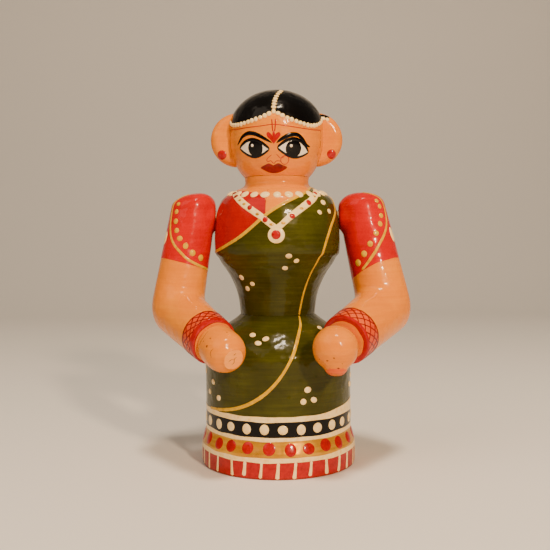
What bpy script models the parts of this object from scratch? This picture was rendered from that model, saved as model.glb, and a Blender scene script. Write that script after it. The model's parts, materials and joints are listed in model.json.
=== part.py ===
"""Painted turned-wood doll with peg-jointed arms and a head that turns on a dowel.

The body is two turned sections, a skirt and a torso, joined at the waist by a dowel. The
head is turned too, with an ear glued and pinned on each side. Each arm is an upper arm and
a forearm mitred at the elbow, with a stub of a hand doweled to the wrist. The doll faces
-Y and stands with the middle of its foot at the origin. "Left" and "right" are the doll's
own, so its left arm is at +X.
Run with: blender --background --python part.py
"""

import math

import bmesh
import bpy
from mathutils import Vector

MM = 0.001  # sizes below are in millimetres

# fits
SEAM = 0.3  # gap left between two pieces that bear on each other
SOCKET_CLEARANCE = 0.3  # all round a dowel in its hole
SOCKET_SPARE = 0.6  # depth left beyond each end of a dowel

# skirt: foot, straight skirt, hips and the shelf up to the waist
FOOT_RADIUS = 30.4
FOOT_HEIGHT = 9.3
FOOT_EDGE = 0.6
FOOT_SWEEP = 5.3  # height over which the foot runs into the skirt
SKIRT_RADIUS = 28.8
SKIRT_HEIGHT = 45.2  # floor to the lower edge of the hips
HIP_RISE = 10.1
SHELF_RADIUS = 19.6
SHELF_RISE = 3.65
WAIST_RADIUS = 14.8

# torso: flare, bust, shoulders and neck
FLARE_RISE = 22.2
FLARE_RADIUS = 23.3
BUST_RADIUS = 24.9
BUST_EDGE = 1.5  # height of the edge under the bust
BUST_RISE = 7.4
SHOULDER_RISE = 18.1
SHOULDER_TOP_RADIUS = 15.4
NECK_RADIUS = 12.6
NECK_SWEEP = 2.2
NECK_RISE = 2.5

# head
HEAD_RADIUS = 18.6
HEAD_HEIGHT = 34.5
HEAD_SEAT_RADIUS = 12.8
CHEEK_HEIGHT = 15.0  # neck seam to where the cheeks are fullest
CROWN_HEIGHT = 19.0  # neck seam to where the crown starts to round
EAR_RADIUS = 10.7
EAR_THICKNESS = 6.4
EAR_EDGE = 2.0
EAR_STANDS_OUT = 7.6  # beyond the side of the head

# dowels: radius, and how far each end goes in
WAIST_DOWEL_RADIUS = 5.0
WAIST_DOWEL_REACH = 10.0
NECK_DOWEL_RADIUS = 4.0
NECK_DOWEL_REACH = 8.0
EAR_PEG_RADIUS = 1.2
EAR_PEG_REACH = 4.0
SHOULDER_PEG_RADIUS = 2.6
SHOULDER_PEG_IN_TORSO = 12.5
SHOULDER_PEG_IN_ARM = 13.5
ELBOW_DOWEL_RADIUS = 2.6
ELBOW_DOWEL_REACH = 6.0
HAND_DOWEL_RADIUS = 2.2
HAND_DOWEL_REACH = 5.5

# arms, where both are alike
PEG_ABOVE_BUST_EDGE = 14.3
SLEEVE_TOP = 9.9  # above the shoulder peg
DOME_HEIGHT = 6.6  # rounding at the top of the sleeve
DOME_SQUARENESS = 2.3
ELBOW_DROP = 36.0  # below the shoulder peg
ELBOW_FORWARD = 4.0
ELBOW_ROUNDING = 8.0  # how far the outer corner is carved back along each side
ELBOW_CREASE = 0.6  # the same inside the bend
WRIST_EDGE = 0.6

# arms, where hand work makes them differ
ARMS = {
    "left": {
        "side": 1,
        "sleeve_girth": 9.2,
        "elbow_girth": 10.6,
        "wrist_girth": 9.4,
        "torso_gap": 0.5,
        "elbow_outset": 15.45,  # beyond the mean of bust and skirt
        "hand_girth": 8.2,
        "hand_seat": 7.2,  # wrist to the middle of the hand
        "hand_clear": 4.4,  # hand to skirt
        "hand_angle": 29.5,  # round from the front
        "hand_lift": 3.9,  # above the lower edge of the hips
    },
    "right": {
        "side": -1,
        "sleeve_girth": 8.8,
        "elbow_girth": 10.2,
        "wrist_girth": 8.8,
        "torso_gap": 0.2,
        "elbow_outset": 13.05,
        "hand_girth": 7.7,
        "hand_seat": 8.5,
        "hand_clear": 4.0,
        "hand_angle": 27.8,
        "hand_lift": 2.7,
    },
}
FIST_NUB_RADIUS = 3.0  # left hand
FIST_NUB_LENGTH = 1.7
FIST_LEAN = 20.0  # the nub's lean towards the front, from straight down
STUB_LENGTH = 14.6  # right hand
STUB_BASE_RADIUS = 7.2
STUB_TIP_RADIUS = 3.6
STUB_TIP_LENGTH = 1.2

TURNED_SEGMENTS = 40
ARM_SEGMENTS = 28
DOWEL_SEGMENTS = 16
HEAD_STEPS = 8  # rings on the cheeks, and again on the crown

# heights above the floor
WAIST_SEAM = SKIRT_HEIGHT + HIP_RISE + SHELF_RISE
BUST_LOW = WAIST_SEAM + FLARE_RISE + BUST_EDGE
NECK_SEAM = BUST_LOW + BUST_RISE + SHOULDER_RISE + NECK_SWEEP + NECK_RISE
EAR_LEVEL = NECK_SEAM + CHEEK_HEIGHT
PEG_LEVEL = BUST_LOW + PEG_ABOVE_BUST_EDGE

FINISHES = {  # colour, roughness
    "sari_green": ((0.060, 0.050, 0.006), 0.2),
    "skin": ((0.90, 0.38, 0.11), 0.22),
    "sleeve_red": ((0.62, 0.025, 0.018), 0.2),
    "bare_wood": ((0.62, 0.43, 0.25), 0.6),
}


def clear_scene():
    for obj in list(bpy.data.objects):
        bpy.data.objects.remove(obj, do_unlink=True)


def finish_material(name):
    """The plain material for one of the doll's finishes."""
    material = bpy.data.materials.get(name)
    if material:
        return material
    colour, roughness = FINISHES[name]
    material = bpy.data.materials.new(name)
    material.use_nodes = True
    shader = material.node_tree.nodes["Principled BSDF"]
    shader.inputs["Base Color"].default_value = (*colour, 1)
    shader.inputs["Roughness"].default_value = roughness
    shader.inputs["Metallic"].default_value = 0
    return material


def add_pivot(name, place):
    """An empty on a joint's axis, which the moving pieces hang from."""
    pivot = bpy.data.objects.new(name, None)
    pivot.location = place * MM
    bpy.context.scene.collection.objects.link(pivot)
    return pivot


def add_piece(name, shape, finish, place, parent=None, turn=None):
    """Makes the object for a bmesh drawn in millimetres about its own origin."""
    bmesh.ops.remove_doubles(shape, verts=shape.verts, dist=1e-4)
    bmesh.ops.recalc_face_normals(shape, faces=shape.faces)
    bmesh.ops.scale(shape, vec=(MM, MM, MM), verts=shape.verts)
    mesh = bpy.data.meshes.new(name)
    shape.to_mesh(mesh)
    shape.free()
    mesh.shade_smooth()
    mesh.set_sharp_from_angle(angle=math.radians(35))
    if finish:
        mesh.materials.append(finish_material(finish))
    obj = bpy.data.objects.new(name, mesh)
    bpy.context.scene.collection.objects.link(obj)
    obj.parent = parent
    obj.location = place * MM - (parent.location if parent else Vector())
    if turn:
        obj.rotation_mode = "QUATERNION"
        obj.rotation_quaternion = turn
    return obj


def between(start, end, shares):
    """Outline points from start to end, each at its shares of the change in radius and height."""
    return [
        (start[0] + (end[0] - start[0]) * r, start[1] + (end[1] - start[1]) * h) for r, h in shares
    ]


def socket(radius, reach, mouth, inward):
    """A dowel's hole, from its mouth to its blind end. inward is +1 up or -1 down."""
    hole = radius + SOCKET_CLEARANCE
    end = mouth + inward * (reach + SOCKET_SPARE)
    return [(hole, mouth), (hole, end), (0, end)]


def spun(outline, segments):
    """The shape of a lathe outline of (radius, height) points."""
    shape = bmesh.new()
    points = [shape.verts.new((r, 0, z)) for r, z in outline]
    edges = [shape.edges.new(pair) for pair in zip(points, points[1:])]
    bmesh.ops.spin(
        shape, geom=points + edges, cent=(0, 0, 0), axis=(0, 0, 1),
        angle=math.tau, steps=segments, use_merge=True,
    )
    bmesh.ops.remove_doubles(shape, verts=shape.verts, dist=1e-4)
    return shape


def add_dowel(name, radius, start, end, parent=None, finish="bare_wood"):
    """A plain round peg between two points, with its origin at its middle."""
    run = end - start
    shape = bmesh.new()
    bmesh.ops.create_cone(
        shape, cap_ends=True, segments=DOWEL_SEGMENTS, radius1=radius, radius2=radius,
        depth=run.length,
    )
    return add_piece(name, shape, finish, (start + end) / 2, parent, run.to_track_quat("Z", "X"))


def cut(targets, tool):
    """Takes a tool's shape out of each target. The tool isn't part of the doll."""
    tool.hide_render = True
    tool.display_type = "WIRE"
    for target in targets:
        modifier = target.modifiers.new(tool.name, "BOOLEAN")
        modifier.operation = "DIFFERENCE"
        modifier.solver = "EXACT"
        modifier.object = tool


def drill(targets, name, radius, start, end, parent=None):
    """The holes for a dowel from start to end, with its clearances."""
    spare = (end - start).normalized() * SOCKET_SPARE
    hole = radius + SOCKET_CLEARANCE
    cut(targets, add_dowel(name, hole, start - spare, end + spare, parent, finish=None))


# the body

def make_skirt():
    """Heights here are above the floor."""
    top = WAIST_SEAM - SEAM / 2
    foot = (FOOT_RADIUS, FOOT_HEIGHT)
    skirt = (SKIRT_RADIUS, FOOT_HEIGHT + FOOT_SWEEP)
    hips = (SKIRT_RADIUS - 0.4, SKIRT_HEIGHT)
    shelf = (SHELF_RADIUS, SKIRT_HEIGHT + HIP_RISE)
    outline = [
        (0, 0), (FOOT_RADIUS - FOOT_EDGE, 0), (FOOT_RADIUS, FOOT_EDGE),
        *between(foot, skirt, [(0, 0), (0.32, 0.25), (0.75, 0.6), (1, 1)]),
        (SKIRT_RADIUS, SKIRT_HEIGHT - 4),
        *between(hips, shelf, [(0, 0), (0.13, 0.22), (0.33, 0.44), (0.67, 0.76), (1, 1)]),
        *between(shelf, (WAIST_RADIUS, top), [(0.55, 0.5), (1, 1)]),
        *socket(WAIST_DOWEL_RADIUS, WAIST_DOWEL_REACH, top, -1),
    ]
    return add_piece("skirt", spun(outline, TURNED_SEGMENTS), "sari_green", Vector())


def make_torso():
    """Heights here are above the waist seam."""
    low = SEAM / 2
    top = NECK_SEAM - WAIST_SEAM - SEAM / 2
    bust = BUST_LOW - WAIST_SEAM
    shoulder = (BUST_RADIUS, bust + BUST_RISE)
    slope = (SHOULDER_TOP_RADIUS, bust + BUST_RISE + SHOULDER_RISE)
    neck = (NECK_RADIUS, slope[1] + NECK_SWEEP)
    flare_shares = [(0, 0), (0.07, 0.24), (0.19, 0.43), (0.4, 0.62), (0.62, 0.77), (0.86, 0.9), (1, 1)]
    slope_shares = [(0, 0), (0.08, 0.33), (0.18, 0.54), (0.31, 0.71), (0.43, 0.8), (0.67, 0.91), (1, 1)]
    outline = [
        *socket(WAIST_DOWEL_RADIUS, WAIST_DOWEL_REACH, low, 1)[::-1],
        *between((WAIST_RADIUS, low), (FLARE_RADIUS, FLARE_RISE), flare_shares),
        (BUST_RADIUS - 0.3, bust),
        (BUST_RADIUS, bust + 0.4 * BUST_RISE),
        *between(shoulder, slope, slope_shares),
        *between(slope, neck, [(0.6, 0.35), (1, 1)]),
        (NECK_RADIUS + 0.1, top),
        *socket(NECK_DOWEL_RADIUS, NECK_DOWEL_REACH, top, -1),
    ]
    place = Vector((0, 0, WAIST_SEAM))
    return add_piece("torso", spun(outline, TURNED_SEGMENTS), "sari_green", place)


def make_body_dowels():
    for name, radius, reach, seam in (
        ("waist_dowel", WAIST_DOWEL_RADIUS, WAIST_DOWEL_REACH, WAIST_SEAM),
        ("neck_dowel", NECK_DOWEL_RADIUS, NECK_DOWEL_REACH, NECK_SEAM),
    ):
        add_dowel(name, radius, Vector((0, 0, seam - reach)), Vector((0, 0, seam + reach)))


# the head, which turns on the neck dowel

def head_outline(grow=0.0):
    """The head's side from its seat to its crown, in heights above the neck seam."""
    low = SEAM / 2 - grow
    slack = math.sqrt(1 - (HEAD_SEAT_RADIUS / HEAD_RADIUS) ** 2)
    cheek_fall = CHEEK_HEIGHT / slack  # half-height of the ellipse that passes through the seat
    crown_rise = HEAD_HEIGHT - CROWN_HEIGHT
    lowest = math.asin((CHEEK_HEIGHT - low) / (cheek_fall + grow))
    outline = []
    for i in range(HEAD_STEPS + 1):
        angle = lowest * (1 - i / HEAD_STEPS)
        radius = (HEAD_RADIUS + grow) * math.cos(angle)
        outline.append((radius, CHEEK_HEIGHT - (cheek_fall + grow) * math.sin(angle)))
    for i in range(HEAD_STEPS + 1):
        angle = math.pi / 2 * i / HEAD_STEPS
        radius = (HEAD_RADIUS + grow) * math.cos(angle)
        outline.append((max(radius, 0), CROWN_HEIGHT + (crown_rise + grow) * math.sin(angle)))
    return outline


def make_head(pivot):
    seat = SEAM / 2
    outline = socket(NECK_DOWEL_RADIUS, NECK_DOWEL_REACH, seat, 1)[::-1] + head_outline()
    return add_piece("head", spun(outline, TURNED_SEGMENTS), "skin", Vector((0, 0, NECK_SEAM)), pivot)


def make_ears(head, pivot):
    """Each ear is a round slab, hollowed to sit on the side of the head."""
    outline = [(0, SEAM / 2 - SEAM), *head_outline(SEAM)]
    place = Vector((0, 0, NECK_SEAM))
    hollow = add_piece("ear_hollow", spun(outline, TURNED_SEGMENTS), None, place, pivot)
    middle = HEAD_RADIUS + EAR_STANDS_OUT - EAR_RADIUS
    for word, side in (("left", 1), ("right", -1)):
        slab = bmesh.new()
        bmesh.ops.create_cone(
            slab, cap_ends=True, segments=36, radius1=EAR_RADIUS, radius2=EAR_RADIUS,
            depth=EAR_THICKNESS,
        )
        rims = [edge for edge in slab.edges if abs(edge.verts[0].co.z - edge.verts[1].co.z) < 0.01]
        bmesh.ops.bevel(slab, geom=rims, offset=EAR_EDGE, segments=3, profile=0.5, affect="EDGES")
        turn = Vector((0, 1, 0)).to_track_quat("Z", "Y")
        ear = add_piece(f"ear_{word}", slab, "skin", Vector((side * middle, 0, EAR_LEVEL)), pivot, turn)
        cut([ear], hollow)
        inner = Vector((side * (HEAD_RADIUS - EAR_PEG_REACH), 0, EAR_LEVEL))
        outer = Vector((side * (HEAD_RADIUS + EAR_PEG_REACH), 0, EAR_LEVEL))
        drill([head, ear], f"ear_hole_{word}", EAR_PEG_RADIUS, inner, outer, pivot)
        add_dowel(f"ear_peg_{word}", EAR_PEG_RADIUS, inner, outer, pivot)


# the arms, which turn on the shoulder pegs

class Arm:
    """The lines and surfaces of one arm: down to the elbow, then forward to the hand."""

    def __init__(self, sizes):
        self.side = sizes["side"]
        self.sleeve_girth = sizes["sleeve_girth"]
        self.elbow_girth = sizes["elbow_girth"]
        self.wrist_girth = sizes["wrist_girth"]
        inner = BUST_RADIUS + sizes["torso_gap"]
        self.pivot = Vector((self.side * inner, 0, PEG_LEVEL))
        self.shoulder = self.pivot + Vector((self.side * self.sleeve_girth, 0, 0))
        beside = (BUST_RADIUS + SKIRT_RADIUS) / 2 + sizes["elbow_outset"]
        self.elbow = Vector((self.side * beside, -ELBOW_FORWARD, PEG_LEVEL - ELBOW_DROP))
        self.upper = (self.elbow - self.shoulder).normalized()
        self.upper_length = (self.elbow - self.shoulder).length + SLEEVE_TOP

        distance = SKIRT_RADIUS + sizes["hand_clear"] + sizes["hand_girth"]
        angle = math.radians(sizes["hand_angle"])
        self.hand = Vector((
            self.side * distance * math.sin(angle),
            -distance * math.cos(angle),
            SKIRT_HEIGHT + sizes["hand_lift"],
        ))
        self.lower = (self.hand - self.elbow).normalized()
        self.lower_length = (self.hand - self.elbow).length - sizes["hand_seat"]
        self.wrist = self.elbow + self.lower * self.lower_length
        self.mitre = (self.upper + self.lower).normalized()
        self.across = self.upper.cross(self.lower).normalized()

    def outward(self, angle, axis):
        """A direction out from an axis. At a quarter turn it points away from the bend."""
        back = self.across.cross(axis).normalized()
        if back.dot(self.lower - self.upper) > 0:
            back = -back
        return math.cos(angle) * self.across + math.sin(angle) * back

    def corner(self, angle):
        """How far up the arm from the elbow the mitre meets the side at this angle."""
        out = self.outward(angle, self.upper)
        return self.elbow_girth * out.dot(self.mitre) / self.upper.dot(self.mitre)

    def girth(self, far):
        """The upper arm's radius at a distance up from the elbow."""
        straight_length = self.upper_length - DOME_HEIGHT
        share = min(max(far / straight_length, 0), 1)
        straight = self.elbow_girth + (self.sleeve_girth - self.elbow_girth) * share
        into_dome = max(far - straight_length, 0) / DOME_HEIGHT
        return straight * (1 - into_dome**DOME_SQUARENESS) ** (1 / DOME_SQUARENESS)

    def on_upper(self, angle, far):
        return self.elbow - self.upper * far + self.outward(angle, self.upper) * self.girth(far)

    def on_lower(self, angle, far):
        share = min(max(far / self.lower_length, 0), 1)
        girth = self.elbow_girth + (self.wrist_girth - self.elbow_girth) * share
        return self.elbow + self.lower * far + self.outward(angle, self.lower) * girth

    def round_elbow(self, angle, share):
        """The carved elbow, from the upper arm at share 0 to the forearm at share 1."""
        outer_side = (1 + math.sin(angle)) / 2
        carved = ELBOW_CREASE + (ELBOW_ROUNDING - ELBOW_CREASE) * outer_side
        far = self.corner(angle)
        start = self.on_upper(angle, far + carved)
        sharp = self.elbow - self.upper * far + self.outward(angle, self.upper) * self.elbow_girth
        end = self.on_lower(angle, far + carved)
        return (1 - share) ** 2 * start + 2 * share * (1 - share) * sharp + share**2 * end


def lofted(rings, first, last, origin):
    """A closed shape from rings of points, with a single point at each end."""
    shape = bmesh.new()
    rows = [[shape.verts.new(point - origin) for point in ring] for ring in rings]
    start, end = (shape.verts.new(point - origin) for point in (first, last))
    count = len(rows[0])
    for i in range(count):
        j = (i + 1) % count
        for above, below in zip(rows, rows[1:]):
            shape.faces.new((above[i], above[j], below[j], below[i]))
        shape.faces.new((start, rows[0][j], rows[0][i]))
        shape.faces.new((end, rows[-1][i], rows[-1][j]))
    return shape


def make_upper_arm(word, arm, pivot):
    angles = [math.tau * i / ARM_SEGMENTS for i in range(ARM_SEGMENTS)]
    top = arm.upper_length
    cut_back = arm.mitre * SEAM / 2
    heights = [top - DOME_HEIGHT * (1 - math.sin(math.pi / 2 * i / 5)) for i in range(4, -1, -1)]
    heights += [0.62 * top]
    rings = [[arm.on_upper(angle, far) for angle in angles] for far in heights]
    rings += [[arm.round_elbow(angle, share) for angle in angles] for share in (0, 0.25)]
    rings.append([arm.round_elbow(angle, 0.5) - cut_back for angle in angles])
    shape = lofted(rings, arm.elbow - arm.upper * top, arm.elbow - cut_back, arm.pivot)
    return add_piece(f"upper_arm_{word}", shape, "sleeve_red", arm.pivot, pivot)


def make_forearm(word, arm, pivot):
    angles = [math.tau * i / ARM_SEGMENTS for i in range(ARM_SEGMENTS)]
    cut_back = arm.mitre * SEAM / 2
    end = arm.lower_length
    rings = [[arm.round_elbow(angle, 0.5) + cut_back for angle in angles]]
    rings += [[arm.round_elbow(angle, share) for angle in angles] for share in (0.75, 1)]
    rings.append([arm.on_lower(angle, end - WRIST_EDGE) for angle in angles])
    smaller = 1 - WRIST_EDGE / arm.wrist_girth
    rings.append([arm.wrist + (arm.on_lower(a, end) - arm.wrist) * smaller for a in angles])
    shape = lofted(rings, arm.elbow + cut_back, arm.wrist, arm.pivot)
    return add_piece(f"forearm_{word}", shape, "skin", arm.pivot, pivot)


def make_stub_hand(arm, pivot):
    """The right hand: a round stub with a small flat-ended tip. Heights are from the wrist."""
    girth = ARMS["right"]["hand_girth"]
    body_end = STUB_LENGTH - STUB_TIP_LENGTH
    straight = (girth, 0.55 * body_end)
    shoulder = (STUB_TIP_RADIUS + 0.6, body_end)
    outline = [
        (0, SEAM), (STUB_BASE_RADIUS, SEAM), (girth - 0.1, 0.2 * body_end), straight,
        *between(straight, shoulder, [(0.1, 0.36), (0.32, 0.66), (0.62, 0.88), (1, 1)]),
        (STUB_TIP_RADIUS, STUB_LENGTH - 0.2), (STUB_TIP_RADIUS - 0.3, STUB_LENGTH), (0, STUB_LENGTH),
    ]
    turn = arm.lower.to_track_quat("Z", "X")
    return add_piece("hand_right", spun(outline, ARM_SEGMENTS), "skin", arm.wrist, pivot, turn)


def make_fist(arm, pivot):
    """The left hand: a ball with a nub underneath, cut flat where it meets the wrist."""
    girth = ARMS["left"]["hand_girth"]
    widest = math.acos(FIST_NUB_RADIUS / girth)
    steps = 10
    outline = [(0, -girth)]
    for i in range(1, steps + 1):
        angle = -math.pi / 2 + (math.pi / 2 + widest) * i / steps
        outline.append((girth * math.cos(angle), girth * math.sin(angle)))
    end = girth + FIST_NUB_LENGTH
    outline += [(FIST_NUB_RADIUS - 0.3, end - 0.4), (FIST_NUB_RADIUS - 0.9, end), (0, end)]
    shape = spun(outline, ARM_SEGMENTS)
    lean = math.radians(FIST_LEAN)
    nub = Vector((0, -math.sin(lean), -math.cos(lean)))
    bmesh.ops.rotate(shape, verts=shape.verts, matrix=nub.to_track_quat("Z", "X").to_matrix())
    seat = arm.wrist + arm.lower * SEAM - arm.hand
    everything = shape.verts[:] + shape.edges[:] + shape.faces[:]
    sliced = bmesh.ops.bisect_plane(
        shape, geom=everything, plane_co=seat, plane_no=-arm.lower, clear_outer=True
    )
    rim = [part for part in sliced["geom_cut"] if isinstance(part, bmesh.types.BMEdge)]
    bmesh.ops.contextual_create(shape, geom=rim)
    return add_piece("hand_left", shape, "skin", arm.hand, pivot)


def make_arm(word, torso):
    sizes = ARMS[word]
    arm = Arm(sizes)
    pivot = add_pivot(f"shoulder_pivot_{word}", arm.pivot)
    upper_arm = make_upper_arm(word, arm, pivot)
    forearm = make_forearm(word, arm, pivot)
    hand = make_fist(arm, pivot) if word == "left" else make_stub_hand(arm, pivot)

    along = arm.mitre * ELBOW_DOWEL_REACH
    ends = (arm.elbow - along, arm.elbow + along)
    drill([upper_arm, forearm], f"elbow_hole_{word}", ELBOW_DOWEL_RADIUS, *ends, pivot)
    add_dowel(f"elbow_dowel_{word}", ELBOW_DOWEL_RADIUS, *ends, pivot)

    along = arm.lower * HAND_DOWEL_REACH
    ends = (arm.wrist - along, arm.wrist + along)
    drill([forearm, hand], f"hand_hole_{word}", HAND_DOWEL_RADIUS, *ends, pivot)
    add_dowel(f"hand_dowel_{word}", HAND_DOWEL_RADIUS, *ends, pivot)

    inner = Vector((arm.side * (BUST_RADIUS - SHOULDER_PEG_IN_TORSO), 0, PEG_LEVEL))
    outer = arm.pivot + Vector((arm.side * SHOULDER_PEG_IN_ARM, 0, 0))
    drill([torso, upper_arm], f"shoulder_hole_{word}", SHOULDER_PEG_RADIUS, inner, outer, pivot)
    add_dowel(f"shoulder_peg_{word}", SHOULDER_PEG_RADIUS, inner, outer)


def main():
    clear_scene()
    make_skirt()
    torso = make_torso()
    make_body_dowels()
    neck = add_pivot("neck_pivot", Vector((0, 0, NECK_SEAM)))
    head = make_head(neck)
    make_ears(head, neck)
    for word in ARMS:
        make_arm(word, torso)


main()
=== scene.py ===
import json
import math
import random

import bpy
from mathutils import Matrix, Vector, noise
from mathutils.geometry import delaunay_2d_cdt


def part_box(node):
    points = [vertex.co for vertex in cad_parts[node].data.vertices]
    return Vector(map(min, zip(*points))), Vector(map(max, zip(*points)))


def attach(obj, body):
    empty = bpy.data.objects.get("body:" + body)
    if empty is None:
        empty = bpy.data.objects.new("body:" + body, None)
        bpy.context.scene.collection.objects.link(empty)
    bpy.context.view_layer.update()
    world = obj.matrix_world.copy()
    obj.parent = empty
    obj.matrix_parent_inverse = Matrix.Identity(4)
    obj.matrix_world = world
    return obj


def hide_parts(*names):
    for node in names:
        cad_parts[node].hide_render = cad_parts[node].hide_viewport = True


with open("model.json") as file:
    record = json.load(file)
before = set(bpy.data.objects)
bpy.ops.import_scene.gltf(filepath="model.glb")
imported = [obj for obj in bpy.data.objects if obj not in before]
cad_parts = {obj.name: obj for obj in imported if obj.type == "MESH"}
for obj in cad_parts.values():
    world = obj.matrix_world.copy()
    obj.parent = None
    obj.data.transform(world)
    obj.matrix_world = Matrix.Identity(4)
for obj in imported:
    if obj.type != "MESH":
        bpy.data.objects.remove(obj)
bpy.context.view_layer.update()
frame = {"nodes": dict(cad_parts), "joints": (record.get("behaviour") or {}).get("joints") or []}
mm = 0.001  # everything below is drawn in millimetres and made in metres
sink = 0.05  # paint starts this far under the surface, so that it has no gap below
hand = random.Random(7)  # the painter's unsteady hand, the same on each run


def hexColour(code):
    # an sRGB hex value as the linear colour that shaders want
    parts = [int(code[i:i + 2], 16) / 255 for i in (0, 2, 4)]
    return [c / 12.92 if c <= 0.04045 else ((c + 0.055) / 1.055) ** 2.4 for c in parts] + [1.0]


def addNode(tree, kind, links=None, **settings):
    # adds a node, sets its inputs or its properties, and links what feeds it
    node = tree.nodes.new(kind)
    for name, value in settings.items():
        if hasattr(node, name):
            setattr(node, name, value)
        else:
            node.inputs[name.replace("_", " ")].default_value = value
    for name, source in (links or {}).items():
        socket = node.inputs[name] if isinstance(name, int) else node.inputs[name.replace("_", " ")]
        tree.links.new(source, socket)
    return node


def newFinish(name, **shine):
    # a fresh material, with the shader's own sockets set from shine
    material = bpy.data.materials.new(name)
    material.use_nodes = True
    tree = material.node_tree
    tree.nodes.clear()
    shader = addNode(tree, "ShaderNodeBsdfPrincipled", **shine)
    addNode(tree, "ShaderNodeOutputMaterial", {"Surface": shader.outputs["BSDF"]})
    where = addNode(tree, "ShaderNodeTexCoord").outputs["Object"]
    return material, tree, shader, where


def mottled(tree, where, across, detail, roughness=0.5):
    # cloudy marks about this many millimetres across
    node = addNode(
        tree, "ShaderNodeTexNoise", {"Vector": where},
        Scale=1000 / across, Detail=detail, Roughness=roughness,
    )
    return node.outputs["Fac"]


def mixed(tree, first, second, share):
    node = addNode(tree, "ShaderNodeMix", {2: first, 3: second}, data_type="FLOAT")
    node.inputs[0].default_value = share
    return node.outputs[0]


def ranged(tree, amount, low, high, start, end):
    # amounts from low to high, stretched to run from start to end
    node = addNode(
        tree, "ShaderNodeMapRange", {"Value": amount},
        From_Min=low, From_Max=high, To_Min=start, To_Max=end,
    )
    return node.outputs["Result"]


def toned(tree, amount, stops):
    # colours by amount, from (place, hex colour) stops: the two ends first, then those between
    node = addNode(tree, "ShaderNodeValToRGB", {"Fac": amount})
    steps = node.color_ramp.elements
    for i, (place, code) in enumerate(stops):
        step = steps[i] if i < 2 else steps.new(place)
        step.position = place
        step.color = hexColour(code)
    return node.outputs["Color"]


def bumped(tree, height, strength, deep, under=None):
    # an uneven surface, deep millimetres from its lows to its highs
    links = {"Height": height}
    if under:
        links["Normal"] = under
    return addNode(tree, "ShaderNodeBump", links, Strength=strength, Distance=deep * mm).outputs["Normal"]


def feed(tree, shader, sources):
    for name, source in sources.items():
        tree.links.new(source, shader.inputs[name])


def lacquer(name, colour, thin, thick, rough=0.22, streak=0.35, dirt=0.0, gloss=0.4, metal=0.0):
    # Lacquer on turned wood: brushed on while the piece spins, then rubbed to a gloss.
    # The eye gets faint rings of thin and thick colour, soft cloudy patches, a deep clear
    # reflection and a skin that isn't quite flat.
    material, tree, shader, where = newFinish(
        name, IOR=1.32, Specular_IOR_Level=0.22, Metallic=metal,
        Coat_Weight=gloss, Coat_Roughness=0.06, Coat_IOR=1.36,
    )
    spun = addNode(tree, "ShaderNodeMapping", {"Vector": where}, Scale=(0.05, 0.05, 1)).outputs[0]
    rings = mottled(tree, spun, across=0.9, detail=3, roughness=0.6)
    clouds = mottled(tree, where, across=14, detail=3)
    grain = mottled(tree, where, across=0.5, detail=2)
    tint = toned(tree, mixed(tree, clouds, rings, streak), [(0.3, thin), (0.72, thick), (0.5, colour)])
    if dirt:
        # handling has left brown specks and rubbed places in the clear coat
        specks = mottled(tree, where, across=3.2, detail=6, roughness=0.75)
        few = ranged(tree, specks, 0.66, 0.78, 0, dirt)
        soiled = addNode(tree, "ShaderNodeMix", {0: few, 6: tint}, data_type="RGBA")
        soiled.inputs[7].default_value = hexColour("5A2A12")
        tint = soiled.outputs[2]
    brushed = bumped(tree, mixed(tree, rings, grain, 0.35), strength=0.22, deep=0.12)
    wavy = bumped(tree, mottled(tree, where, across=4.5, detail=1.5), strength=0.5, deep=0.9, under=brushed)
    feed(tree, shader, {
        "Base Color": tint,
        "Roughness": ranged(tree, clouds, 0.3, 0.7, rough * 0.8, rough * 1.35),
        "Normal": wavy,
        "Coat Normal": wavy,
    })
    return material


def enamel(name, colour, light, dark, rough=0.28, gloss=0.4):
    # Thick brush enamel: dabbed on by hand, so it stands proud and is lighter where it is thick.
    # The eye gets small crisp highlights and a slight change of tone inside each stroke.
    material, tree, shader, where = newFinish(
        name, Roughness=rough, IOR=1.32, Specular_IOR_Level=0.22, Coat_Weight=gloss, Coat_Roughness=0.08,
    )
    strokes = mottled(tree, where, across=1.6, detail=4, roughness=0.6)
    feed(tree, shader, {
        "Base Color": toned(tree, strokes, [(0.28, dark), (0.7, light), (0.46, colour)]),
        "Normal": bumped(tree, mottled(tree, where, across=0.35, detail=2), strength=0.25, deep=0.08),
    })
    return material


def bareWood(name):
    # Soft pale wood left from the lathe: long grain along the piece and faint growth rings,
    # dry and matt where no lacquer was put.
    material, tree, shader, where = newFinish(name, Roughness=0.62, IOR=1.5)
    along = addNode(tree, "ShaderNodeMapping", {"Vector": where}, Scale=(1, 1, 0.12)).outputs[0]
    fibre = mottled(tree, along, across=0.8, detail=6, roughness=0.65)
    growth = addNode(
        tree, "ShaderNodeTexWave", {"Vector": along}, wave_type="RINGS",
        Scale=1000 / 9, Distortion=3.0, Detail=3.0,
    )
    feed(tree, shader, {
        "Base Color": toned(
            tree, mixed(tree, fibre, growth.outputs["Fac"], 0.4), [(0.25, "B98F5E"), (0.75, "E2C79C")],
        ),
        "Normal": bumped(tree, fibre, strength=0.4, deep=0.2),
    })
    return material


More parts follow.
